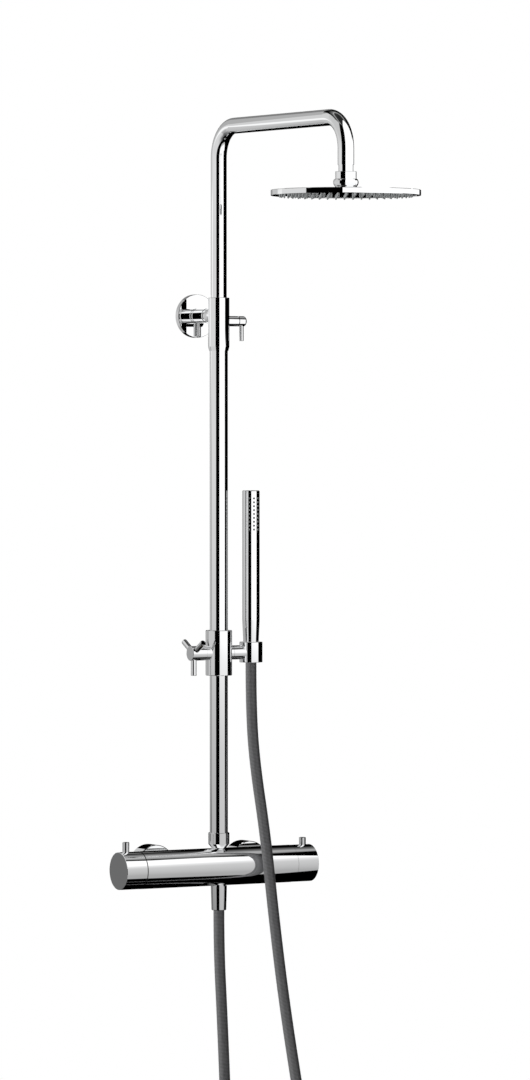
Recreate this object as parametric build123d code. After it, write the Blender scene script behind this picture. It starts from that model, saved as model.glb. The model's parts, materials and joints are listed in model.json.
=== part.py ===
from build123d import *

import math
import os

# Rainfall shower column: a two-handle bar mixer on the wall, a telescopic riser with a swan-neck arm and a
# flat rain head, and a slider that holds a stick handset on a flexible hose.
#
# Millimetres, +Z up. The origin is on the wall's face, midway between the two water inlets, at the height
# of the mixer's axis. +X is to the right along the wall and +Y goes into it, so the front faces -Y.

# ---------------------------------------------------------------- driving dimensions

WALL_GAP = 68.0  # wall to the axis of the mixer and of the riser
INLET_SPACING = 150.0

RUNNING = 0.05  # radial clearance of a running fit
GAP = 0.3  # clearance between faces that pass each other

# mixer
BODY_RADIUS = 26.0
BODY_LEFT = -126.0
BODY_RIGHT = 113.4
CHAMBER_RADIUS = 17.5
CHAMBER_DEPTH = 62.0
HANDLE_RADIUS = 25.8
HANDLE_LENGTH = 32.8
HANDLE_GAPS = {-1: 1.2, 1: 0.4}  # between the left and the right handle and the body
HANDLE_PIN_RADIUS = 4.7
HANDLE_PIN_TOPS = {-1: 39.3, 1: 35.8}  # on the left and the right handle
HANDLE_PIN_FROM_BODY = 21.2
SPINDLE_RADIUS = 5.0
SPINDLE_TIP_RADIUS = 4.0
SPINDLE_SHOULDER = 22.0  # out from the body's end
SPINDLE_END = 26.0
INLET_RADIUS = 11.5
INLET_END = 36.0  # from the mixer's axis towards the wall
UNION_FRONT = 38.0
CHANNEL_RADIUS = 6.0  # waterways
OUTLET_RADIUS = 9.3  # the outlet's thread, above and below the mixer

# wall fittings
THREAD_HALF_INCH = 10.48
THREAD_THREE_QUARTER = 13.2
ROSETTE_RADIUS = 30.0
ROSETTE_DEPTH = 24.0
TAIL_LENGTH = 22.0  # what goes into the wall

# riser
TUBE_RADIUS = 12.5
TUBE_BORE = 11.3
TUBE_BOTTOM = 33.0
TUBE_TOP = 740.0
COLLAR_RADIUS = 14.65
COLLAR_BOTTOM = 713.0
COLLAR_TOP = 786.4
COLLAR_SEAT = 784.0  # the top of the bush's seat in the collar
KNOB_HEIGHT = 754.2
CLAMP_SCREW_RADIUS = 3.15
BRACKET_HEIGHT = 762.0
BRACKET_RADIUS = 10.4
STUB_RADIUS = 7.0
STUB_END = 18.0  # where the stub ends inside the collar's arm
PLATE_SCREW_CIRCLE = 32.0
WALL_SCREW_RADIUS = 2.4  # over its thread, in the wall
PLATE_FRONT = 63.0  # from the riser's axis towards the wall
RING_FRONT = 29.4
RING_GROOVE = 56.7
RING_BACK = 59.2

# arm and head
ARM_RADIUS = 11.0
ARM_BORE = 9.5
ARM_BOTTOM = 530.0
ARM_HEIGHT = 1021.7
ARM_REACH = 337.5
BEND_RADIUS = 43.0
ARM_END = 957.1
BALL_RADIUS = 12.6
BALL_HEIGHT = 940.0
HEAD_RADIUS = 100.0
HEAD_TOP = 923.5
HEAD_BOTTOM = 916.0
SOCKET_TOP = 938.0
NUT_TOP = 948.0
NUT_RADIUS = 14.15
NOZZLE_RINGS = 8
NOZZLE_PITCH = 11.0
NOZZLE_RADIUS = 1.15

# slider and handset
SLIDER_HEIGHT = 296.0
SLIDER_RADIUS = 18.25
SLIDER_HALF = 31.2
STEM_RADIUS = 9.75
HOLDER_OFFSET = 51.5
HOLDER_RADIUS = 15.9
HOLDER_HALF = 14.1
HANDSET_RADIUS = 12.0
HANDSET_TOP = 520.0
HANDSET_BOTTOM = 304.6
TAPER_TOP = 341.0
TAPER_RADIUS = 10.65  # at the top of the ring
CONE_BOTTOM = 283.5
CONE_RADIUS = 8.9  # at its bottom end
TAIL_RADIUS = 6.0  # the threaded tail between handset and hose
NOZZLE_ROWS = 9
NOZZLE_ROW_PITCH = 5.4
NOZZLE_COLUMN_ANGLE = 34.0
SPRAY_FACING = -100.5  # the middle column looks a little to the left of straight forward
SPRAY_BOTTOM = 452.0

# hose
HOSE_RADIUS = 7.5
HOSE_BORE = 6.4
OUTLET_BOTTOM = -60.0
ARC_SHARE = 0.45  # of the shorter run, which each arc's tangent may take
# the route's points (right, into the wall, up), by hand, from the outlet down round the loop and up to
# the ring
HOSE_ROUTE = [
    (0, -68, -60),
    (0, -68, -115),
    (0, -77, -205),
    (-1, -89, -335),
    (0, -91, -445),
    (-1, -97, -534),
    (16, -176, -585),
    (33, -256, -547),
    (42, -257, -451),
    (52, -200, -320),
    (60, -146, -192),
    (60, -117, -74),
    (57, -99, 40),
    (53, -74, 148),
    (51.5, -68, 226),
    (51.5, -68, 283.5),
]

# turns that carry +Z to another direction
TO_WALL = (-90, 0, 0)
TO_RIGHT = (0, 90, 0)
TO_LEFT = (0, -90, 0)
DOWN = (180, 0, 0)


def at(x, depth, z, turn=(0, 0, 0)):
    """A place by its distance right of centre, out from the wall, and up."""
    return Location((x, -depth, z), turn)


RISER = at(0, WALL_GAP, 0)
HEAD_AXIS = at(0, WALL_GAP + ARM_REACH, 0)
HANDSET_AXIS = at(HOLDER_OFFSET, WALL_GAP, 0)


def turned(profile, place=RISER):
    """A turned piece from a closed list of (radius, height), about the place's own Z."""
    outline = Polyline(*[(radius, 0, height) for radius, height in profile], close=True)
    return place * revolve(make_face(outline), Axis.Z)


def rod(radius, low, high, place=RISER):
    """A plain round bar between two heights."""
    return place * Pos(0, 0, (low + high) / 2) * Cylinder(radius, high - low)


def tube(outer, inner, low, high, place=RISER):
    """A plain round tube between two heights."""
    return rod(outer, low, high, place) - rod(inner, low - 1, high + 1, place)


def both(shapes):
    """Separate solids kept together as one node."""
    return Compound(children=[solid for shape in shapes for solid in shape.solids()])


# ---------------------------------------------------------------- mixer

def inlets():
    """The places of the two inlets, each with its Z pointing into the wall from the mixer's axis."""
    return [at(side * INLET_SPACING / 2, WALL_GAP, 0, TO_WALL) for side in (-1, 1)]


def mixer_body():
    middle = (BODY_LEFT + BODY_RIGHT) / 2
    half = (BODY_RIGHT - BODY_LEFT) / 2
    body = rod(BODY_RADIUS, -half, half, at(middle, WALL_GAP, 0, TO_RIGHT))
    for inlet in inlets():
        body += rod(INLET_RADIUS, 10, INLET_END, inlet)
        body += rod(INLET_RADIUS + 1.5, INLET_END - 2, INLET_END, inlet)
    body += rod(OUTLET_RADIUS - 0.1, 20, 31)
    body -= rod(CHAMBER_RADIUS, BODY_LEFT - 1, BODY_LEFT + CHAMBER_DEPTH, at(0, WALL_GAP, 0, TO_RIGHT))
    body -= rod(CHAMBER_RADIUS, BODY_RIGHT - CHAMBER_DEPTH, BODY_RIGHT + 1, at(0, WALL_GAP, 0, TO_RIGHT))
    body -= rod(CHANNEL_RADIUS, BODY_LEFT + 10, BODY_RIGHT - 10, at(0, WALL_GAP, 0, TO_RIGHT))
    for inlet in inlets():
        body -= rod(CHANNEL_RADIUS + 2, 0, INLET_END + 1, inlet)
    body -= rod(CHANNEL_RADIUS, -20, 32)
    return body - rod(OUTLET_RADIUS, -BODY_RADIUS - 1, -18)


def side_place(side):
    """The end of the mixer's body on one side, with its Z pointing out along the mixer's axis."""
    end = BODY_RIGHT if side > 0 else BODY_LEFT
    return at(end, WALL_GAP, 0, TO_RIGHT if side > 0 else TO_LEFT)


def cartridge(side):
    """The valve cartridge, with a stepped nose and a bore for the spindle."""
    bore = SPINDLE_RADIUS + RUNNING
    outer = CHAMBER_RADIUS - 0.2
    profile = [(bore, -52), (13, -52), (13, -40), (outer, -40), (outer, -28), (15.5, -28), (15.5, -20),
               (outer, -20), (outer, -8), (bore, -8)]
    return turned(profile, side_place(side))


def retainer(side):
    """The ring nut that holds the cartridge in."""
    return tube(CHAMBER_RADIUS, 9.0, -7.9, -2, side_place(side))


def stop_ring():
    """The plastic ring behind the temperature handle that sets its stops."""
    return tube(16.0, 9.6, -1.9, 5, side_place(-1))


def spindle(side):
    profile = [(0, -46), (SPINDLE_RADIUS, -46), (SPINDLE_RADIUS, SPINDLE_SHOULDER),
               (SPINDLE_TIP_RADIUS, SPINDLE_END), (0, SPINDLE_END)]
    return turned(profile, side_place(side))


def handle(side):
    """A hollow cap with a hub on the spindle and a hole for its pin."""
    inner, gap = HANDLE_RADIUS - 2.2, HANDLE_GAPS[side]
    cap = HANDLE_LENGTH - 3.3
    profile = [(SPINDLE_RADIUS, 8), (9, 8), (9, cap), (inner, cap), (inner, gap),
               (HANDLE_RADIUS, gap), (HANDLE_RADIUS, HANDLE_LENGTH - 0.4),
               (HANDLE_RADIUS - 0.4, HANDLE_LENGTH), (0, HANDLE_LENGTH),
               (0, SPINDLE_END), (SPINDLE_TIP_RADIUS, SPINDLE_END), (SPINDLE_RADIUS, SPINDLE_SHOULDER)]
    return turned(profile, side_place(side)) - handle_pin(side)


def handle_pin(side):
    end = BODY_RIGHT if side > 0 else BODY_LEFT
    x = end + side * HANDLE_PIN_FROM_BODY
    top = HANDLE_PIN_TOPS[side]
    profile = [(0, 18), (HANDLE_PIN_RADIUS, 18), (HANDLE_PIN_RADIUS, top - 0.5),
               (HANDLE_PIN_RADIUS - 0.5, top), (0, top)]
    return turned(profile, at(x, WALL_GAP, 0))


def wall_union(inlet):
    """A union with a male half-inch tail in the wall and a male three-quarter front."""
    end = WALL_GAP + TAIL_LENGTH
    profile = [(CHANNEL_RADIUS, UNION_FRONT), (THREAD_THREE_QUARTER, UNION_FRONT),
               (THREAD_THREE_QUARTER, 56), (14.5, 56), (14.5, WALL_GAP),
               (THREAD_HALF_INCH, WALL_GAP), (THREAD_HALF_INCH, end), (CHANNEL_RADIUS, end)]
    return turned(profile, inlet)


def union_nut(inlet):
    """A hexagon nut that pulls the mixer onto its union."""
    hexagon = extrude(RegularPolygon(15.0, 6, major_radius=False), 14.7)
    nut = inlet * Pos(0, 0, 29) * hexagon - rod(INLET_RADIUS + 0.1, 28, 45, inlet)
    return nut - rod(THREAD_THREE_QUARTER, INLET_END - 2.3, 45, inlet)


def inlet_rosette(inlet):
    """A deep round cover that slides over the union and closes on the wall."""
    front = WALL_GAP - ROSETTE_DEPTH
    bore = THREAD_THREE_QUARTER + 0.1
    profile = [(bore, front), (ROSETTE_RADIUS - 1, front), (ROSETTE_RADIUS, front + 1),
               (ROSETTE_RADIUS, WALL_GAP), (ROSETTE_RADIUS - 1.5, WALL_GAP),
               (ROSETTE_RADIUS - 1.5, front + 1.5), (bore, front + 1.5)]
    return turned(profile, inlet)


def check_valve(inlet):
    """A one-way valve cartridge in the mixer's inlet."""
    return turned([(3, 20), (7.9, 20), (7.9, 34), (5, 34), (5, 30), (3, 30)], inlet)


def inlet_seal(inlet):
    """The flat washer between mixer and union."""
    return tube(12.5, 7.0, INLET_END, UNION_FRONT, inlet)


# ---------------------------------------------------------------- riser

def riser_nut():
    """The nut at the riser's foot, tapering down to the mixer."""
    low = BODY_RADIUS + 0.4
    profile = [(OUTLET_RADIUS, low), (10.2, low), (14.6, 31.7), (14.6, 46.8), (14.1, 47.3),
               (TUBE_RADIUS, 47.3), (TUBE_RADIUS, TUBE_BOTTOM), (OUTLET_RADIUS, TUBE_BOTTOM)]
    return turned(profile)


def riser_seal():
    return tube(OUTLET_RADIUS - 0.1, 6.2, TUBE_BOTTOM - 2, TUBE_BOTTOM)


def lower_tube():
    return tube(TUBE_RADIUS, TUBE_BORE, TUBE_BOTTOM, TUBE_TOP)


def knob_place():
    return at(0, WALL_GAP, KNOB_HEIGHT, TO_RIGHT)


def bracket_place():
    return at(0, WALL_GAP, BRACKET_HEIGHT, TO_WALL)


def collar():
    """The sleeve at the joint of the two tubes, with a boss for the clamp screw and an arm to the wall."""
    profile = [(TUBE_RADIUS, COLLAR_BOTTOM), (13.2, COLLAR_BOTTOM), (COLLAR_RADIUS, COLLAR_BOTTOM + 6),
               (COLLAR_RADIUS, COLLAR_TOP - 0.5), (COLLAR_RADIUS - 0.5, COLLAR_TOP),
               (ARM_RADIUS + GAP, COLLAR_TOP), (ARM_RADIUS + GAP, COLLAR_SEAT), (TUBE_RADIUS, COLLAR_SEAT)]
    body = turned(profile)
    branch = rod(7.1, 13, 28.9, knob_place())
    branch += turned([(0, 13), (9.9, 13), (BRACKET_RADIUS, 16), (BRACKET_RADIUS, RING_FRONT - 1.3),
                      (BRACKET_RADIUS - 0.9, RING_FRONT - GAP), (0, RING_FRONT - GAP)], bracket_place())
    body += branch - rod(TUBE_RADIUS, COLLAR_BOTTOM, COLLAR_TOP)
    body -= rod(3.2, 0, 30, knob_place())
    return body - rod(STUB_RADIUS + RUNNING, STUB_END - 0.5, 50, bracket_place())


def collar_bush():
    """The nylon sleeve that guides the upper tube and takes the clamp screw's tip."""
    return tube(TUBE_RADIUS - 0.02, ARM_RADIUS + RUNNING, TUBE_TOP + 0.1, COLLAR_SEAT - 0.1)


def clamp_screw(place, tip, head):
    """A clamp screw with a dog point, up to the inside of its knob."""
    profile = [(0, tip), (2, tip), (2, tip + 2), (CLAMP_SCREW_RADIUS, tip + 2.5),
               (CLAMP_SCREW_RADIUS, head), (0, head)]
    return turned(profile, place)


def collar_knob():
    """A short round-ended knob, bored for its screw and its pin."""
    profile = [(0, 35), (CLAMP_SCREW_RADIUS, 35), (CLAMP_SCREW_RADIUS, 30.2), (7.1, 30.2), (7.1, 39),
               (6.7, 40.3), (5.6, 41.4), (3.6, 42.1), (0, 42.4)]
    return turned(profile, knob_place()) - collar_knob_pin()


def collar_knob_pin():
    place = at(36.2, WALL_GAP, KNOB_HEIGHT, DOWN)
    return turned([(0, 4.5), (3, 4.5), (3, 26.8), (2.6, 27.2), (0, 27.2)], place)


def wall_plate():
    """The plate on the wall with the stub that carries the collar's arm."""
    profile = [(0, STUB_END), (STUB_RADIUS, STUB_END), (STUB_RADIUS, PLATE_FRONT), (22, PLATE_FRONT),
               (22, WALL_GAP), (0, WALL_GAP)]
    plate = turned(profile, bracket_place())
    for place in plate_screw_places():
        plate -= rod(WALL_SCREW_RADIUS + 0.2, 60, 70, place)
    return plate


def plate_screw_places():
    """The three wall screws' places, on a circle round the stub."""
    return [bracket_place() * Rot(0, 0, 90 + 120 * turn) * Pos(PLATE_SCREW_CIRCLE / 2, 0, 0)
            for turn in range(3)]


def wall_screw(place):
    """A wall screw: head, plain shank through the plate, and the thread in the wall, modelled plain."""
    head, shank, tip = PLATE_FRONT - 2.5, 1.8, WALL_GAP + 20
    profile = [(0, head), (3.8, head), (3.8, PLATE_FRONT), (shank, PLATE_FRONT), (shank, WALL_GAP),
               (WALL_SCREW_RADIUS, WALL_GAP), (WALL_SCREW_RADIUS, tip), (0, tip)]
    return turned(profile, place)


def bracket_rosette():
    """The shallow round cover over the wall plate."""
    front = WALL_GAP - 8.5
    profile = [(STUB_RADIUS + 0.1, front), (ROSETTE_RADIUS - 0.5, front), (ROSETTE_RADIUS, front + 0.5),
               (ROSETTE_RADIUS, WALL_GAP), (ROSETTE_RADIUS - 1, WALL_GAP),
               (ROSETTE_RADIUS - 1, front + 0.8), (STUB_RADIUS + 0.1, front + 0.8)]
    return turned(profile, bracket_place())


def lock_ring():
    """The long ring behind the collar's arm that locks it on the stub, with a groove near its back."""
    bore = STUB_RADIUS + RUNNING
    profile = [(bore, RING_FRONT), (BRACKET_RADIUS - 0.9, RING_FRONT), (BRACKET_RADIUS, RING_FRONT + 1),
               (BRACKET_RADIUS, RING_GROOVE - 0.9), (BRACKET_RADIUS - 0.8, RING_GROOVE),
               (BRACKET_RADIUS, RING_GROOVE + 0.9), (BRACKET_RADIUS, RING_BACK), (bore, RING_BACK)]
    return turned(profile, bracket_place()) - lock_pin()


def lock_pin():
    place = at(0, WALL_GAP - 54.8, BRACKET_HEIGHT, DOWN)
    return turned([(0, 7.6), (2.85, 7.6), (2.85, 28), (2.45, 28.4), (0, 28.4)], place)


# ---------------------------------------------------------------- upper tube, arm and head

def guide_piston():
    """The nylon piston that guides the upper tube inside the lower one."""
    low, plug = ARM_BOTTOM - 30, ARM_BORE - RUNNING
    profile = [(6, low), (11.25, low), (11.25, low + 6), (10, low + 6), (10, low + 9), (11.25, low + 9),
               (11.25, low + 19), (10, low + 19), (10, low + 22), (11.25, low + 22),
               (11.25, ARM_BOTTOM - GAP), (plug, ARM_BOTTOM - GAP), (plug, ARM_BOTTOM + 22),
               (6, ARM_BOTTOM + 22)]
    return turned(profile)


def piston_seals():
    """The two O-rings in the piston's grooves."""
    return both([turned([(10, low + 0.2), (10.8, low + 0.2), (11.25, low + 0.8), (11.25, low + 2.2),
                         (10.8, low + 2.8), (10, low + 2.8)])
                 for low in (ARM_BOTTOM - 24, ARM_BOTTOM - 11)])


def arm_tube():
    """The upper tube, which bends over to the front and down to the head."""
    path = FilletPolyline(
        (0, -WALL_GAP, ARM_BOTTOM),
        (0, -WALL_GAP, ARM_HEIGHT),
        (0, -WALL_GAP - ARM_REACH, ARM_HEIGHT),
        (0, -WALL_GAP - ARM_REACH, ARM_END),
        radius=BEND_RADIUS,
    )
    return sweep(at(0, WALL_GAP, ARM_BOTTOM) * (Circle(ARM_RADIUS) - Circle(ARM_BORE)), path)


def swivel_ball():
    """The ball at the arm's end, pressed into the tube, with the waterway through it."""
    ball = rod(ARM_BORE, ARM_END, ARM_END + 14, HEAD_AXIS) + rod(9.9, BALL_HEIGHT + 6, ARM_END, HEAD_AXIS)
    ball += HEAD_AXIS * Pos(0, 0, BALL_HEIGHT) * Sphere(BALL_RADIUS)
    return ball - rod(5, BALL_HEIGHT - 20, ARM_END + 20, HEAD_AXIS)


def ball_seat():
    """The plastic seat under the ball."""
    seat = tube(13.9, 6.5, 925.6, 931, HEAD_AXIS)
    return seat - HEAD_AXIS * Pos(0, 0, BALL_HEIGHT) * Sphere(BALL_RADIUS + RUNNING)


def swivel_nut():
    """The nut over the ball: its lip holds the ball, and its mouth leaves the neck room to tilt."""
    profile = [(12.7, 931.3), (NUT_RADIUS, 931.3), (NUT_RADIUS, NUT_TOP - 0.4), (NUT_RADIUS - 0.4, NUT_TOP),
               (12, NUT_TOP), (12, SOCKET_TOP), (12.7, SOCKET_TOP)]
    return turned(profile, HEAD_AXIS) - HEAD_AXIS * Pos(0, 0, BALL_HEIGHT) * Sphere(BALL_RADIUS + 0.1)


def head_socket():
    """The rounded socket on top of the head that the nut screws into."""
    profile = [(6, 920.8), (8, 920.8), (8, HEAD_TOP), (14.3, HEAD_TOP), (14.3, 927.6), (15.6, 929.2),
               (16.6, 931.2), (17, 933.6), (16.7, 935.8), (15.8, 937.4), (14.9, SOCKET_TOP),
               (NUT_RADIUS, SOCKET_TOP), (NUT_RADIUS, 925.4), (6, 925.4)]
    return turned(profile, HEAD_AXIS)


def head_shell():
    """The head's thin top and rim."""
    inner = HEAD_RADIUS - 1.4
    profile = [(8, HEAD_TOP - 1.2), (inner, HEAD_TOP - 1.2), (inner, HEAD_BOTTOM),
               (HEAD_RADIUS - 0.4, HEAD_BOTTOM), (HEAD_RADIUS, HEAD_BOTTOM + 0.4),
               (HEAD_RADIUS, HEAD_TOP - 0.6), (HEAD_RADIUS - 0.6, HEAD_TOP), (8, HEAD_TOP)]
    return turned(profile, HEAD_AXIS)


def nozzle_spots():
    """Rings of six, twelve, eighteen and so on nozzles."""
    spots = []
    for ring in range(1, NOZZLE_RINGS + 1):
        count = 6 * ring
        spots += [(NOZZLE_PITCH * ring, 360 * n / count) for n in range(count)]
    return [Rot(0, 0, angle) * Pos(radius, 0, 0) for radius, angle in spots]


def at_nozzles(shape):
    """One copy of a shape at each nozzle of the head."""
    return [HEAD_AXIS * spot * shape for spot in nozzle_spots()]


def head_face():
    """The face plate, with a hole for each nozzle."""
    plate = rod(98.5, 916.6, 918.1, HEAD_AXIS)
    return plate - at_nozzles(Pos(0, 0, 917.35) * Cylinder(NOZZLE_RADIUS + 0.05, 3))


def nozzle_mat():
    """The silicone mat behind the face, whose nozzles stand out through it."""
    mat = rod(92, 918.1, 919.5, HEAD_AXIS)
    nozzle = Pos(0, 0, 916.45) * Cylinder(NOZZLE_RADIUS, 3.5)
    nozzle += Pos(0, 0, 914.2) * Cone(NOZZLE_RADIUS - 0.35, NOZZLE_RADIUS, 1)
    return mat + at_nozzles(nozzle)


def head_gasket():
    return tube(98.3, 93.5, 918.2, 920.4, HEAD_AXIS)


# ---------------------------------------------------------------- slider and handset

def slider_bush():
    """The nylon bush between slider and tube."""
    return tube(14.5, TUBE_RADIUS + RUNNING, SLIDER_HEIGHT - 28.8, SLIDER_HEIGHT + 28.8)


def cross_place(side):
    """The slider's cross axis, with its Z pointing to one side."""
    return at(0, WALL_GAP, SLIDER_HEIGHT, TO_RIGHT if side > 0 else TO_LEFT)


def slider_body():
    """The sliding sleeve, with a boss for the clamp knob and one for the holder."""
    low, high = SLIDER_HEIGHT - SLIDER_HALF, SLIDER_HEIGHT + SLIDER_HALF
    seat = 14.5 + RUNNING
    profile = [(13, low), (SLIDER_RADIUS - 0.6, low), (SLIDER_RADIUS, low + 0.6),
               (SLIDER_RADIUS, high - 0.6), (SLIDER_RADIUS - 0.6, high), (13, high), (13, high - 2.1),
               (seat, high - 2.1), (seat, low + 2.1), (13, low + 2.1)]
    bosses = rod(STEM_RADIUS, 14, 23.7, cross_place(-1)) + rod(STEM_RADIUS, 14, 19.7, cross_place(1))
    bosses -= rod(16, low, high)
    body = turned(profile) + bosses
    return body - rod(3.2, 13, 30, cross_place(-1)) - rod(5, 13, 30, cross_place(1))


def pivot_screw():
    """The screw that the holder turns on."""
    return turned([(0, 14.9), (5, 14.9), (5, 31), (4.5, 31.5), (0, 31.5)], cross_place(1))


def slider_knob():
    """The knob on the slider's left, bored for its screw and three pins."""
    profile = [(0, 36), (3.15, 36), (3.15, 24), (10, 24), (10, 45.6), (9.6, 46), (0, 46)]
    return turned(profile, cross_place(-1)) - slider_knob_pins()


def slider_knob_pins():
    """Three radial pins, one of them pointing down."""
    pin = turned([(0, 6.5), (4, 6.5), (4, 30.3), (3.5, 30.8), (0, 30.8)],
                 at(-40, WALL_GAP, SLIDER_HEIGHT, DOWN))
    axle = Axis((0, -WALL_GAP, SLIDER_HEIGHT), (1, 0, 0))
    return both([pin.rotate(axle, 120 * turn) for turn in range(3)])


def holder():
    """The stem and the ring that hold the handset."""
    low, high = SLIDER_HEIGHT - HOLDER_HALF, SLIDER_HEIGHT + HOLDER_HALF
    profile = [(0, low), (HOLDER_RADIUS - 0.4, low), (HOLDER_RADIUS, low + 0.4),
               (HOLDER_RADIUS, high - 0.4), (HOLDER_RADIUS - 0.4, high), (0, high)]
    body = turned(profile, HANDSET_AXIS) + rod(STEM_RADIUS, 20, 45, cross_place(1))
    return body - rod(12.6, low - 1, high + 1, HANDSET_AXIS) - rod(5 + RUNNING, 19, 32, cross_place(1))


def holder_liner():
    """The plastic sleeve in the ring, tapered for the hose's cone."""
    low, high = SLIDER_HEIGHT - HOLDER_HALF, SLIDER_HEIGHT + HOLDER_HALF
    slope = (TAPER_RADIUS - CONE_RADIUS) / (high - CONE_BOTTOM)
    bottom = CONE_RADIUS + slope * (low - CONE_BOTTOM)
    profile = [(bottom + 0.2, low), (12.6, low), (12.6, high), (TAPER_RADIUS + 0.2, high)]
    return turned(profile, HANDSET_AXIS)


def taper_at(height):
    """The radius of the tapered end at a height inside the ring."""
    high = SLIDER_HEIGHT + HOLDER_HALF
    return CONE_RADIUS + (TAPER_RADIUS - CONE_RADIUS) * (height - CONE_BOTTOM) / (high - CONE_BOTTOM)


def hose_cone():
    """The cone nut at the hose's upper end, with a swivel socket for the handset."""
    top = HANDSET_BOTTOM - GAP
    socket = TAIL_RADIUS + RUNNING
    profile = [(3.5, CONE_BOTTOM), (CONE_RADIUS, CONE_BOTTOM), (taper_at(top), top), (socket, top),
               (socket, CONE_BOTTOM + 8), (3.5, CONE_BOTTOM + 8)]
    return turned(profile, HANDSET_AXIS)


def handset_nozzle_spots():
    """Three columns of nine nozzles towards the front."""
    return [Pos(0, 0, 466 + NOZZLE_ROW_PITCH * row) * Rot(0, 0, SPRAY_FACING + NOZZLE_COLUMN_ANGLE * column)
            for row in range(NOZZLE_ROWS) for column in (-1, 0, 1)]


def handset_body():
    """The stick's outer tube, tapering at the bottom."""
    ring_top = SLIDER_HEIGHT + HOLDER_HALF
    cap = HANDSET_TOP - 2.5
    profile = [(TAIL_RADIUS, HANDSET_BOTTOM), (taper_at(HANDSET_BOTTOM), HANDSET_BOTTOM),
               (TAPER_RADIUS, ring_top), (HANDSET_RADIUS, TAPER_TOP), (HANDSET_RADIUS, HANDSET_TOP - 0.8),
               (HANDSET_RADIUS - 0.8, HANDSET_TOP), (0, HANDSET_TOP), (0, cap), (10.6, cap),
               (10.6, TAPER_TOP), (9.2, ring_top + 2), (TAIL_RADIUS, ring_top + 2)]
    bore = Rot(0, 90, 0) * Pos(0, 0, 11) * Cylinder(1.4, 6)
    return turned(profile, HANDSET_AXIS) - [HANDSET_AXIS * spot * bore for spot in handset_nozzle_spots()]


def handset_tail():
    """The threaded tail and water pipe inside the stick."""
    return turned([(3.5, 292), (TAIL_RADIUS, 292), (TAIL_RADIUS, 316), (7.5, 318), (7.5, SPRAY_BOTTOM),
                   (5.5, SPRAY_BOTTOM), (5.5, 318), (3.5, 316)], HANDSET_AXIS)


def handset_nozzles():
    """The silicone sleeve inside the spray end, whose nozzles stand out through the tube."""
    sleeve = tube(10.5, 8.6, SPRAY_BOTTOM + 0.2, HANDSET_TOP - 3, HANDSET_AXIS)
    nozzle = Rot(0, 90, 0) * Pos(0, 0, 11.25) * Cylinder(1.35, 2.9)
    return sleeve + [HANDSET_AXIS * spot * nozzle for spot in handset_nozzle_spots()]


# ---------------------------------------------------------------- hose

def outlet_nipple():
    return tube(OUTLET_RADIUS, CHANNEL_RADIUS, -38, -20)


def hose_nut():
    """The tapered nut that holds the hose on the outlet."""
    high = -BODY_RADIUS - 0.4
    return turned([(OUTLET_RADIUS, high), (11.1, high), (10.2, OUTLET_BOTTOM + 0.5), (9.8, OUTLET_BOTTOM),
                   (7.1, OUTLET_BOTTOM), (7.1, -44), (OUTLET_RADIUS, -44)])


def hose_washer():
    return tube(9.2, 5, -40, -38.1)


def hose_tail():
    """The hose's lower fitting, inside the nut."""
    profile = [(4, -40.1), (9.2, -40.1), (9.2, -43.9), (7, -43.9), (7, OUTLET_BOTTOM), (4, OUTLET_BOTTOM)]
    return turned(profile)


def route_radii(points):
    """Each corner's arc, as large as its two runs allow."""
    points = [Vector(*point) for point in points]
    radii = []
    for before, corner, after in zip(points, points[1:], points[2:]):
        turn = math.radians((corner - before).get_angle(after - corner))
        shorter = min((corner - before).length, (after - corner).length)
        radii.append(ARC_SHARE * shorter / math.tan(turn / 2))
    return radii


def shower_hose():
    """The hose: straight runs joined by tangent arcs."""
    radii = route_radii(HOSE_ROUTE)
    print("hose radii", [round(radius) for radius in radii])
    path = FilletPolyline(*HOSE_ROUTE, radius=radii)
    start = Location(HOSE_ROUTE[0], DOWN)
    hose = sweep(start * (Circle(HOSE_RADIUS) - Circle(HOSE_BORE)), path)
    section = math.pi * (HOSE_RADIUS ** 2 - HOSE_BORE ** 2)
    print("hose length", round(path.length, 1), "volume over section times length",
          round(hose.volume / (section * path.length), 4))
    return hose


# ---------------------------------------------------------------- the nodes

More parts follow.
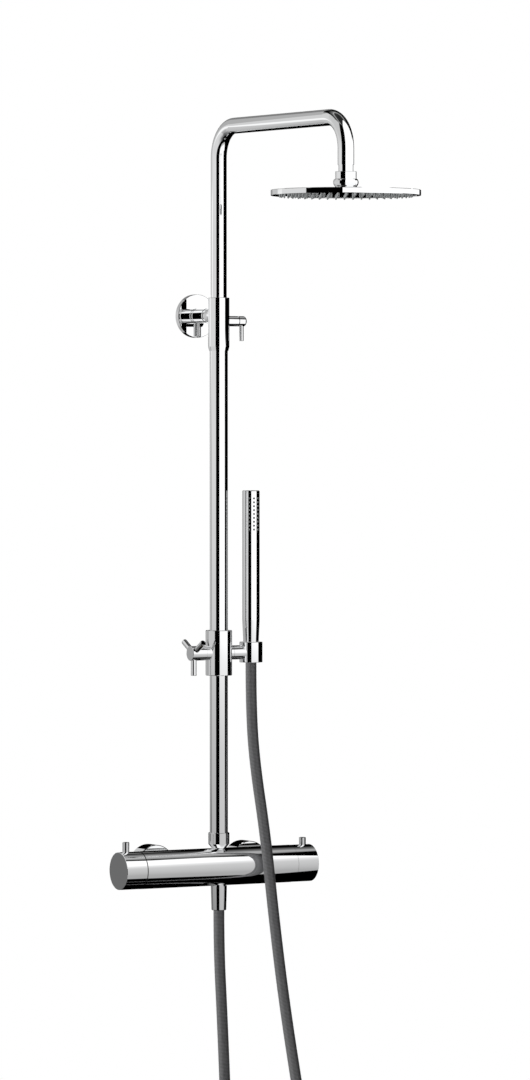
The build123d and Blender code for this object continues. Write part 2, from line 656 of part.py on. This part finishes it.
NODES = {
    "mixer_body": mixer_body(),
    "thermostatic_cartridge": cartridge(-1),
    "flow_cartridge": cartridge(1),
    "cartridge_retainers": both([retainer(-1), retainer(1)]),
    "temperature_stop_ring": stop_ring(),
    "temperature_spindle": spindle(-1),
    "temperature_handle": handle(-1),
    "temperature_handle_pin": handle_pin(-1),
    "flow_spindle": spindle(1),
    "flow_handle": handle(1),
    "flow_handle_pin": handle_pin(1),
    "wall_unions": both([wall_union(inlet) for inlet in inlets()]),
    "union_nuts": both([union_nut(inlet) for inlet in inlets()]),
    "inlet_rosettes": both([inlet_rosette(inlet) for inlet in inlets()]),
    "check_valves": both([check_valve(inlet) for inlet in inlets()]),
    "inlet_seals": both([inlet_seal(inlet) for inlet in inlets()]),
    "riser_nut": riser_nut(),
    "riser_seal": riser_seal(),
    "lower_tube": lower_tube(),
    "collar": collar(),
    "collar_bush": collar_bush(),
    "collar_screw": clamp_screw(knob_place(), 12.9, 35),
    "collar_knob": collar_knob(),
    "collar_knob_pin": collar_knob_pin(),
    "wall_plate": wall_plate(),
    "wall_screws": both([wall_screw(place) for place in plate_screw_places()]),
    "bracket_rosette": bracket_rosette(),
    "lock_ring": lock_ring(),
    "lock_pin": lock_pin(),
    "guide_piston": guide_piston(),
    "piston_seals": piston_seals(),
    "arm_tube": arm_tube(),
    "swivel_ball": swivel_ball(),
    "ball_seat": ball_seat(),
    "swivel_nut": swivel_nut(),
    "head_socket": head_socket(),
    "head_shell": head_shell(),
    "head_face": head_face(),
    "nozzle_mat": nozzle_mat(),
    "head_gasket": head_gasket(),
    "slider_bush": slider_bush(),
    "slider_body": slider_body(),
    "pivot_screw": pivot_screw(),
    "slider_screw": clamp_screw(cross_place(-1), 14.8, 36),
    "slider_knob": slider_knob(),
    "slider_knob_pins": slider_knob_pins(),
    "holder": holder(),
    "holder_liner": holder_liner(),
    "hose_cone": hose_cone(),
    "handset_body": handset_body(),
    "handset_tail": handset_tail(),
    "handset_nozzles": handset_nozzles(),
    "outlet_nipple": outlet_nipple(),
    "hose_nut": hose_nut(),
    "hose_washer": hose_washer(),
    "hose_tail": hose_tail(),
    "shower_hose": shower_hose(),
}

os.makedirs("parts", exist_ok=True)
for name, shape in NODES.items():
    export_step(shape, f"parts/{name}.step")
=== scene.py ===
import json
import math

import bpy
import numpy as np
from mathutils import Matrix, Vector


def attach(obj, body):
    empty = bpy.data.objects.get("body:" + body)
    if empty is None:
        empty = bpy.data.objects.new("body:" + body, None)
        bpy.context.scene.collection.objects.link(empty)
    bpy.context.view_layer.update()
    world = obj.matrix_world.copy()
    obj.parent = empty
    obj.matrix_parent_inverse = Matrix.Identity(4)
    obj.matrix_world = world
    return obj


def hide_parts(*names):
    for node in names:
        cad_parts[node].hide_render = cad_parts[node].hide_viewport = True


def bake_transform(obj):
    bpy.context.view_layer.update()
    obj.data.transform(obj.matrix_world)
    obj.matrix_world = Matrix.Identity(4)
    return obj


# Rainfall shower column. Its polished parts mirror tall soft panels, and lamps light the dull ones.
# Metres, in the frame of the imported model: the wall is the plane y = 0 and the front faces -y.

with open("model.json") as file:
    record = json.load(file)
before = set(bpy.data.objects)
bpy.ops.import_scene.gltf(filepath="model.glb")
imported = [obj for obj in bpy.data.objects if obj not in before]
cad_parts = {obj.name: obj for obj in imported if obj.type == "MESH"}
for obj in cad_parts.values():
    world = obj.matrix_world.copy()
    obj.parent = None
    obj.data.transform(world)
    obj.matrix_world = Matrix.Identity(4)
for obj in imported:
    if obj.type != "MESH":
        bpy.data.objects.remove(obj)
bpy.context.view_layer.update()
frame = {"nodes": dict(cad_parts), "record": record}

# ---------------------------------------------------------------- dimensions

RISER = Vector((0, -0.068, 0))

HOSE_RADIUS = 0.0077
HOSE_PITCH = 0.0019  # from one rib to the next
HOSE_GROOVE = 0.0003
HOSE_SIDES = 20
RINGS_PER_RIB = 5
# the route's control points: down from the outlet, round the loop and up to the handset's ring
HOSE_ROUTE = [
    (0, -0.068, -0.060),
    (0, -0.068, -0.115),
    (0, -0.077, -0.205),
    (-0.001, -0.089, -0.335),
    (0, -0.091, -0.445),
    (-0.001, -0.097, -0.534),
    (0.016, -0.176, -0.585),
    (0.033, -0.256, -0.547),
    (0.042, -0.257, -0.451),
    (0.052, -0.200, -0.320),
    (0.060, -0.146, -0.192),
    (0.060, -0.117, -0.074),
    (0.057, -0.099, 0.040),
    (0.053, -0.074, 0.148),
    (0.0515, -0.068, 0.226),
    (0.0515, -0.068, 0.2835),
]
# heights on the rising side where one stretch of hose hands over to the next
GUIDE_BOTTOM = 0.040
GUIDE_TOP = 0.150
TILT_TOP = 0.230
HANDOVER = 0.003  # how far inside a stretch its blend would begin; the blends are listed but not made

CAMERA_LENS = 190.96
CAMERA_PLACE = (-3.9615, -6.9190, 0.6197)
CAMERA_DROP = 1.2147  # degrees that it looks down
CAMERA_TURN = 30.5  # degrees that it looks to the right of the wall's own direction
CAMERA_REACH = 60  # past everything in the studio

# directions in plan: from the riser towards the camera, and to the right of the picture
TO_CAMERA = Vector((-0.5075, -0.8616, 0))
TO_RIGHT = Vector((0.8616, -0.5075, 0))
PANEL_BOTTOM = -1.2
PANEL_TOP = 2.0
WHITE_STRENGTH = 1.15  # of the white panels, over the others
LAMP_SIZE = 3.0
LAMP_AIM = 0.4  # height on the riser that the lamps point at
FLOOR_HEIGHT = -1.05
FLOOR_HALF = 3.0


def add_object(name, data):
    """A new object, linked into the scene."""
    thing = bpy.data.objects.new(name, data)
    bpy.context.scene.collection.objects.link(thing)
    return thing


# ---------------------------------------------------------------- camera

def make_camera():
    data = bpy.data.cameras.new("camera")
    data.lens = CAMERA_LENS
    data.clip_end = CAMERA_REACH
    camera = add_object("camera", data)
    camera.location = CAMERA_PLACE
    camera.rotation_euler = (math.radians(90 - CAMERA_DROP), 0, math.radians(-CAMERA_TURN))
    bpy.context.scene.camera = camera


# ---------------------------------------------------------------- node helpers

class Nodes:
    """Adds nodes to one tree and joins them."""

    def __init__(self, tree):
        self.tree = tree

    def add(self, kind, inputs=(), **settings):
        """A node with its settings, and its inputs linked or set."""
        node = self.tree.nodes.new(kind)
        for name, value in settings.items():
            setattr(node, name, value)
        for name, value in dict(inputs).items():
            if isinstance(value, bpy.types.NodeSocket):
                self.tree.links.new(value, node.inputs[name])
            else:
                node.inputs[name].default_value = value
        return node

    def noise(self, scale, detail=3.0, coordinates=None):
        inputs = {"Scale": scale, "Detail": detail}
        if coordinates is not None:
            inputs["Vector"] = coordinates
        return self.add("ShaderNodeTexNoise", inputs).outputs["Fac"]

    def spread(self, value, low, high, start=0.0, end=1.0):
        """value between start and end, carried to low and high."""
        inputs = {"Value": value, "From Min": start, "From Max": end, "To Min": low, "To Max": high}
        return self.add("ShaderNodeMapRange", inputs).outputs["Result"]

    def place(self):
        """Where a point lies on its own object."""
        return self.add("ShaderNodeTexCoord").outputs["Object"]

    def mix(self, share, first, second):
        """A share of the second colour in the first. The node's colours are its sockets 6 and 7."""
        inputs = {0: share, 6: first, 7: second}
        return self.add("ShaderNodeMix", inputs, data_type="RGBA").outputs[2]

    def ramp(self, value, stops):
        """value looked up among (position, grey) stops."""
        node = self.add("ShaderNodeValToRGB", {"Fac": value})
        elements = node.color_ramp.elements
        while len(elements) > len(stops):
            elements.remove(elements[-1])
        while len(elements) < len(stops):
            elements.new(0.5)
        for element, (position, grey) in zip(elements, stops):
            element.position = position
            element.color = (grey, grey, grey, 1)
        return node.outputs["Color"]

    def bump(self, height, distance, strength=1.0):
        inputs = {"Height": height, "Distance": distance, "Strength": strength}
        return self.add("ShaderNodeBump", inputs).outputs["Normal"]


def new_material(name):
    """A material with its shader and a helper for its tree."""
    material = bpy.data.materials.new(name)
    material.use_nodes = True
    shader = material.node_tree.nodes["Principled BSDF"]
    return material, shader, Nodes(material.node_tree)


def join(nodes, shader, **links):
    """Links sockets to the shader's inputs, whose names are given with underscores."""
    for name, socket in links.items():
        nodes.tree.links.new(socket, shader.inputs[name.replace("_", " ")])


# ---------------------------------------------------------------- materials

def chrome():
    """Polished plating: a faint haze of wiping marks and a very slight waviness."""
    material, shader, nodes = new_material("polished_chrome")
    shader.inputs["Metallic"].default_value = 1.0
    place = nodes.place()
    haze = nodes.noise(38.0, 4.0, place)
    tint = nodes.mix(haze, (0.93, 0.935, 0.94, 1), (0.90, 0.905, 0.91, 1))
    wave = nodes.noise(22.0, 1.0, place)
    join(nodes, shader, Base_Color=tint, Roughness=nodes.spread(haze, 0.008, 0.03, 0.3, 0.8),
         Normal=nodes.bump(wave, 0.00001))
    return material


def hose_metal():
    """The hose's fine winding, whose many small edges add up to a dull dark grey, with painted shade
    darkening the grooves.
    """
    material, shader, nodes = new_material("hose_metal")
    shader.inputs["Metallic"].default_value = 0.15
    place = nodes.place()
    worn = nodes.noise(260.0, 3.0, place)
    groove_depth_and_shade = nodes.add("ShaderNodeAttribute", attribute_name="groove_depth_and_shade").outputs["Fac"]
    metal = nodes.mix(worn, (0.17, 0.17, 0.175, 1), (0.27, 0.27, 0.275, 1))
    # painted shade: the groove mask darkens the base colour to near black between the ribs
    join(nodes, shader, Base_Color=nodes.mix(groove_depth_and_shade, metal, (0.06, 0.06, 0.062, 1)),
         Roughness=nodes.spread(worn, 0.34, 0.46, 0.3, 0.7), Normal=nodes.bump(worn, 0.00004))
    return material


def machined(name, light, dark, roughness, fineness):
    """Bare metal as it comes from the lathe, with a fine grain."""
    material, shader, nodes = new_material(name)
    shader.inputs["Metallic"].default_value = 1.0
    grain = nodes.noise(fineness, 4.0, nodes.place())
    join(nodes, shader, Base_Color=nodes.mix(grain, light, dark),
         Roughness=nodes.spread(grain, roughness - 0.1, roughness + 0.1),
         Normal=nodes.bump(grain, 0.00005))
    return material


def moulded(name, light, dark, roughness):
    """A moulded plastic with a fine spark-eroded skin."""
    material, shader, nodes = new_material(name)
    place = nodes.place()
    cloud = nodes.noise(90.0, 2.0, place)
    skin = nodes.noise(1800.0, 2.0, place)
    join(nodes, shader, Base_Color=nodes.mix(cloud, light, dark),
         Roughness=nodes.spread(skin, roughness - 0.08, roughness + 0.08),
         Normal=nodes.bump(skin, 0.00003))
    return material


def silicone():
    """The soft nozzles: grey, matt and slightly see-through."""
    material, shader, nodes = new_material("nozzle_silicone")
    place = nodes.place()
    cloud = nodes.noise(140.0, 2.0, place)
    skin = nodes.noise(2400.0, 2.0, place)
    shader.inputs["Subsurface Weight"].default_value = 0.25
    shader.inputs["Subsurface Radius"].default_value = (0.002, 0.002, 0.002)
    shader.inputs["Subsurface Scale"].default_value = 0.5
    join(nodes, shader, Base_Color=nodes.mix(cloud, (0.30, 0.31, 0.31, 1), (0.22, 0.23, 0.23, 1)),
         Roughness=nodes.spread(skin, 0.42, 0.58), Normal=nodes.bump(skin, 0.00003))
    return material


MATERIALS = {
    "chrome": chrome(),
    "brass": machined("turned_brass", (0.72, 0.56, 0.28, 1), (0.60, 0.45, 0.22, 1), 0.32, 300.0),
    "steel": machined("satin_steel", (0.62, 0.62, 0.63, 1), (0.50, 0.50, 0.51, 1), 0.30, 420.0),
    "white_plastic": moulded("white_nylon", (0.80, 0.80, 0.78, 1), (0.72, 0.72, 0.70, 1), 0.45),
    "black_plastic": moulded("black_plastic", (0.03, 0.03, 0.03, 1), (0.02, 0.02, 0.022, 1), 0.45),
    "silicone": silicone(),
    "seal_rubber": moulded("seal_rubber", (0.025, 0.025, 0.025, 1), (0.015, 0.015, 0.016, 1), 0.6),
    "hose": hose_metal(),
}


def dress_nodes():
    """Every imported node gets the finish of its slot."""
    for subpart in frame["record"]["subparts"]:
        node = frame["nodes"][subpart["node"]]
        node.data.materials.clear()
        node.data.materials.append(MATERIALS[subpart["material_slot"]])


# ---------------------------------------------------------------- hose

def route_points():
    """Points along the route's own smooth line, evenly spaced for the ribs."""
    curve = bpy.data.curves.new("hose_route", "CURVE")
    curve.dimensions = "3D"
    spline = curve.splines.new("NURBS")
    spline.points.add(len(HOSE_ROUTE) - 1)
    for point, place in zip(spline.points, HOSE_ROUTE):
        point.co = (*place, 1)
    spline.order_u = 3
    spline.use_endpoint_u = True
    spline.resolution_u = 128
    holder = add_object("hose_route", curve)
    mesh = bpy.data.meshes.new_from_object(holder)
    line = np.array([vertex.co for vertex in mesh.vertices])
    bpy.data.objects.remove(holder)
    bpy.data.meshes.remove(mesh)
    along = np.concatenate([[0], np.linalg.norm(np.diff(line, axis=0), axis=1).cumsum()])
    count = round(along[-1] / HOSE_PITCH * RINGS_PER_RIB) + 1
    steps = np.linspace(0, along[-1], count)
    return np.stack([np.interp(steps, along, line[:, axis]) for axis in range(3)], axis=1)


def ring_frames(points):
    """Two directions across the line at each point, carried along it without twisting."""
    tangents = np.gradient(points, axis=0)
    tangents /= np.linalg.norm(tangents, axis=1)[:, None]
    across = Vector((1, 0, 0))
    frames = []
    for before, tangent in zip([tangents[0], *tangents[:-1]], tangents):
        turn = Vector(before).rotation_difference(Vector(tangent))
        across = turn @ across
        across = (across - Vector(tangent) * across.dot(Vector(tangent))).normalized()
        frames.append((across.copy(), Vector(tangent).cross(across)))
    return frames


def groove_at(ring, side):
    """How deep in the groove between two ribs a point lies, from 0 to 1: the groove is a helix. The same
    value also paints shade into the hose's colour there.
    """
    phase = ring / RINGS_PER_RIB - side / HOSE_SIDES
    return (0.5 + 0.5 * math.cos(2 * math.pi * phase)) ** 3


def hose_stretch(name, points, frames, first, last):
    """The ribbed tube from one ring to another."""
    vertices, painted_groove_shade = [], []
    for ring in range(first, last + 1):
        across, up = frames[ring]
        for side in range(HOSE_SIDES):
            angle = 2 * math.pi * side / HOSE_SIDES
            groove_depth_and_shade = groove_at(ring, side)
            out = across * math.cos(angle) + up * math.sin(angle)
            vertices.append(Vector(points[ring]) + out * (HOSE_RADIUS - HOSE_GROOVE * groove_depth_and_shade))
            painted_groove_shade.append(groove_depth_and_shade)
    faces = []
    for row in range(last - first):
        for side in range(HOSE_SIDES):
            low, beside = row * HOSE_SIDES + side, row * HOSE_SIDES + (side + 1) % HOSE_SIDES
            faces.append((low, beside, beside + HOSE_SIDES, low + HOSE_SIDES))
    mesh = bpy.data.meshes.new(name)
    mesh.from_pydata(vertices, [], faces)
    # the groove depth is also stored as a mask of painted shade for the hose's colour
    mesh.attributes.new("groove_depth_and_shade", "FLOAT", "POINT").data.foreach_set("value", painted_groove_shade)
    mesh.shade_smooth()
    mesh.materials.append(MATERIALS["hose"])
    piece = add_object(name, mesh)
    return piece


def make_hose():
    """One hose in five stretches, cut at its lowest point and where it rises past the guide and the tilt:
    the first hangs on the root, and the other four are listed with the bodies of the four joints that move
    its end but are only baked in place.
    """
    points = route_points()
    frames = ring_frames(points)
    heights = points[:, 2]
    lowest = int(heights.argmin())
    marks = [0, lowest]
    for height in (GUIDE_BOTTOM, GUIDE_TOP, TILT_TOP):
        marks.append(lowest + int(np.searchsorted(heights[lowest:], height)))
    marks.append(len(points) - 1)
    names = ["hose_drop", "hose_rise", "hose_guide", "hose_tilt", "hose_top"]
    drop, rise, guide, tilt, top = [
        hose_stretch(name, points, frames, first, last)
        for name, first, last in zip(names, marks, marks[1:])
    ]
    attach(drop, "root")
    blends = [(rise, "root", "slide_bush", float(heights.min()) + HANDOVER, GUIDE_BOTTOM),
              (guide, "slide_bush", "slider", GUIDE_BOTTOM, GUIDE_TOP),
              (tilt, "slider", "holder", GUIDE_TOP, TILT_TOP),
              (top, "holder", "hose_end", TILT_TOP, HOSE_ROUTE[-1][2])]
    for piece, below, above, low, high in blends:
        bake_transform(piece)
    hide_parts("shower_hose")


# ---------------------------------------------------------------- studio

def glow(name, stops, strength, bottom, top):
    """Light that follows height: stops are (height, grey)."""
    material = bpy.data.materials.new(name)
    material.use_nodes = True
    material.node_tree.nodes.clear()
    nodes = Nodes(material.node_tree)
    height = nodes.add("ShaderNodeSeparateXYZ", {"Vector": nodes.place()}).outputs["Z"]
    shares = [((at - bottom) / (top - bottom), grey) for at, grey in stops]
    colour = nodes.ramp(nodes.spread(height, 0, 1, bottom, top), shares)
    light = nodes.add("ShaderNodeEmission", {"Color": colour, "Strength": strength})
    nodes.add("ShaderNodeOutputMaterial", {"Surface": light.outputs[0]})
    return material


def panel(name, corners, stops, strength=1.0, bottom=PANEL_BOTTOM, top=PANEL_TOP):
    """An upright panel for the polished parts to mirror; nothing else is lit by it or hidden by it.

    Its corners in plan are (towards the camera, to the right) of the riser.
    """
    places = [RISER + TO_CAMERA * near + TO_RIGHT * right for near, right in corners]
    vertices = [place + Vector((0, 0, height)) for height in (bottom, top) for place in places]
    count = len(places)
    faces = [(i, i + 1, i + 1 + count, i + count) for i in range(count - 1)]
    mesh = bpy.data.meshes.new(name)
    mesh.from_pydata(vertices, [], faces)
    mesh.materials.append(glow(name, stops, strength, bottom, top))
    sheet = add_object(name, mesh)
    sheet.visible_camera = False
    sheet.visible_shadow = False
    sheet.visible_diffuse = False


def make_right_panels():
    """From the camera round by the right to the back: dark, the tall white one, and dark."""
    white = [(-0.5, 0.0), (-0.49, 0.36), (-0.26, 0.38), (-0.135, 0.455), (0, 0.516), (0.11, 0.56),
             (0.13, 0.575), (0.176, 0.65), (0.26, 0.81), (0.29, 0.96), (0.4, 1.0)]
    front, white_end, edge_end = (0.834, 0.122), (0.167, 0.483), (0.08, 0.53)
    panel("panel_dark_front", [(0.657, -0.465), front], [(0, 0)])
    panel("panel_white", [front, white_end], white, WHITE_STRENGTH)
    panel("panel_white_edge", [white_end, edge_end], [*white, (0.73, 1.0), (0.74, 0)], WHITE_STRENGTH)
    panel("panel_white_flap", [white_end, (0.125, 0.363)], [(0.85, 1.0)], WHITE_STRENGTH, 0.85, 1.06)
    panel("panel_dark_right", [edge_end, (-0.5, 0.75), (-1.2, 0.1)], [(0, 0)], top=0.8)


def make_left_panels():
    """From the camera round by the left: the greys of a room, mostly brighter higher up, then dark."""
    grey = [(-1.2, 0.12), (-0.25, 0.22), (-0.1, 0.42), (0.06, 0.50), (0.4, 0.69), (0.57, 0.74),
            (0.9, 0.72), (1.0, 0.78), (1.2, 0.6)]
    strip = [(-1.2, 0.1), (0, 0.16), (0.06, 0.30), (0.4, 0.42), (0.57, 0.5), (0.68, 0.74), (0.76, 1.0),
             (0.95, 1.05), (0.99, 0.68), (1.2, 0.68)]
    dim = [(-1.2, 0.1), (-0.2, 0.2), (0.06, 0.36), (0.34, 0.55), (0.9, 0.62), (1.2, 0.45)]
    left, left_back, back = (-0.15, -0.9), (-0.5, -0.9), (-1.01, -0.535)
    panel("panel_grey", [(0.657, -0.465), (0.3, -0.9), left], grey)
    panel("panel_strip", [left, left_back], strip)
    panel("panel_dim", [left_back, (-0.9, -0.9), back], dim)
    panel("panel_dark_back", [back, (-1.2, 0.1)], [(0.9, 0), (0.93, 0.3), (1.2, 0.22)])


def soft_lamp(name, near, right, height, power):
    """A lamp for the plastics, the nozzles, the hose and the floor; the polished parts don't mirror it."""
    data = bpy.data.lights.new(name, "AREA")
    data.size = LAMP_SIZE
    data.energy = power
    data.use_shadow = False
    lamp = add_object(name, data)
    lamp.location = RISER + TO_CAMERA * near + TO_RIGHT * right + Vector((0, 0, height))
    aim = RISER + Vector((0, 0, LAMP_AIM)) - lamp.location
    lamp.rotation_euler = aim.to_track_quat("-Z", "Y").to_euler()
    lamp.visible_glossy = False
    lamp.visible_camera = False


def make_lamps():
    soft_lamp("lamp_left", 1.4, -5.1, 2.2, 330.0)
    soft_lamp("lamp_right", 2.4, 4.8, 2.2, 30.0)
    soft_lamp("lamp_back", -4.8, 0.0, 3.0, 100.0)


def make_world():
    """White where the camera sees past the object; the parts mirror a ring of grey ceiling in the dark."""
    world = bpy.data.worlds.new("studio")
    bpy.context.scene.world = world
    world.use_nodes = True
    world.node_tree.nodes.clear()
    nodes = Nodes(world.node_tree)
    direction = nodes.add("ShaderNodeTexCoord").outputs["Generated"]
    height = nodes.add("ShaderNodeSeparateXYZ", {"Vector": direction}).outputs["Z"]
    stops = [(-1, 0), (0.64, 0), (0.72, 0.012), (0.78, 0.1), (0.82, 0.15), (0.845, 0.235),
             (0.855, 0.36), (0.862, 0.47), (0.875, 0.47), (0.89, 0.04), (1, 0.02)]
    colour = nodes.ramp(nodes.spread(height, 0, 1, -1, 1), [((at + 1) / 2, grey) for at, grey in stops])
    around = nodes.add("ShaderNodeBackground", {"Color": colour, "Strength": 1.0})
    behind = nodes.add("ShaderNodeBackground", {"Color": (1, 1, 1, 1), "Strength": 1.0})
    seen = nodes.add("ShaderNodeLightPath").outputs["Is Camera Ray"]
    both = nodes.add("ShaderNodeMixShader", {"Fac": seen})
    world.node_tree.links.new(around.outputs[0], both.inputs[1])
    world.node_tree.links.new(behind.outputs[0], both.inputs[2])
    nodes.add("ShaderNodeOutputWorld", {"Surface": both.outputs[0]})


def make_floor():
    """A plain pale floor below the hose's loop, which the column's metal doesn't mirror."""
    mesh = bpy.data.meshes.new("floor")
    corners = [(-FLOOR_HALF, -FLOOR_HALF), (FLOOR_HALF, -FLOOR_HALF),
               (FLOOR_HALF, FLOOR_HALF), (-FLOOR_HALF, FLOOR_HALF)]
    mesh.from_pydata([(x, y, FLOOR_HEIGHT) for x, y in corners], [], [(0, 1, 2, 3)])
    material, shader, nodes = new_material("pale_floor")
    cloud = nodes.noise(3.0, 2.0, nodes.place())
    join(nodes, shader, Base_Color=nodes.mix(cloud, (0.86, 0.86, 0.86, 1), (0.83, 0.83, 0.83, 1)))
    shader.inputs["Roughness"].default_value = 0.9
    mesh.materials.append(material)
    floor = add_object("floor", mesh)
    floor.visible_glossy = False


make_camera()
make_hose()
dress_nodes()
make_right_panels()
make_left_panels()
make_lamps()
make_world()
make_floor()
bpy.context.scene.view_settings.view_transform = "Standard"
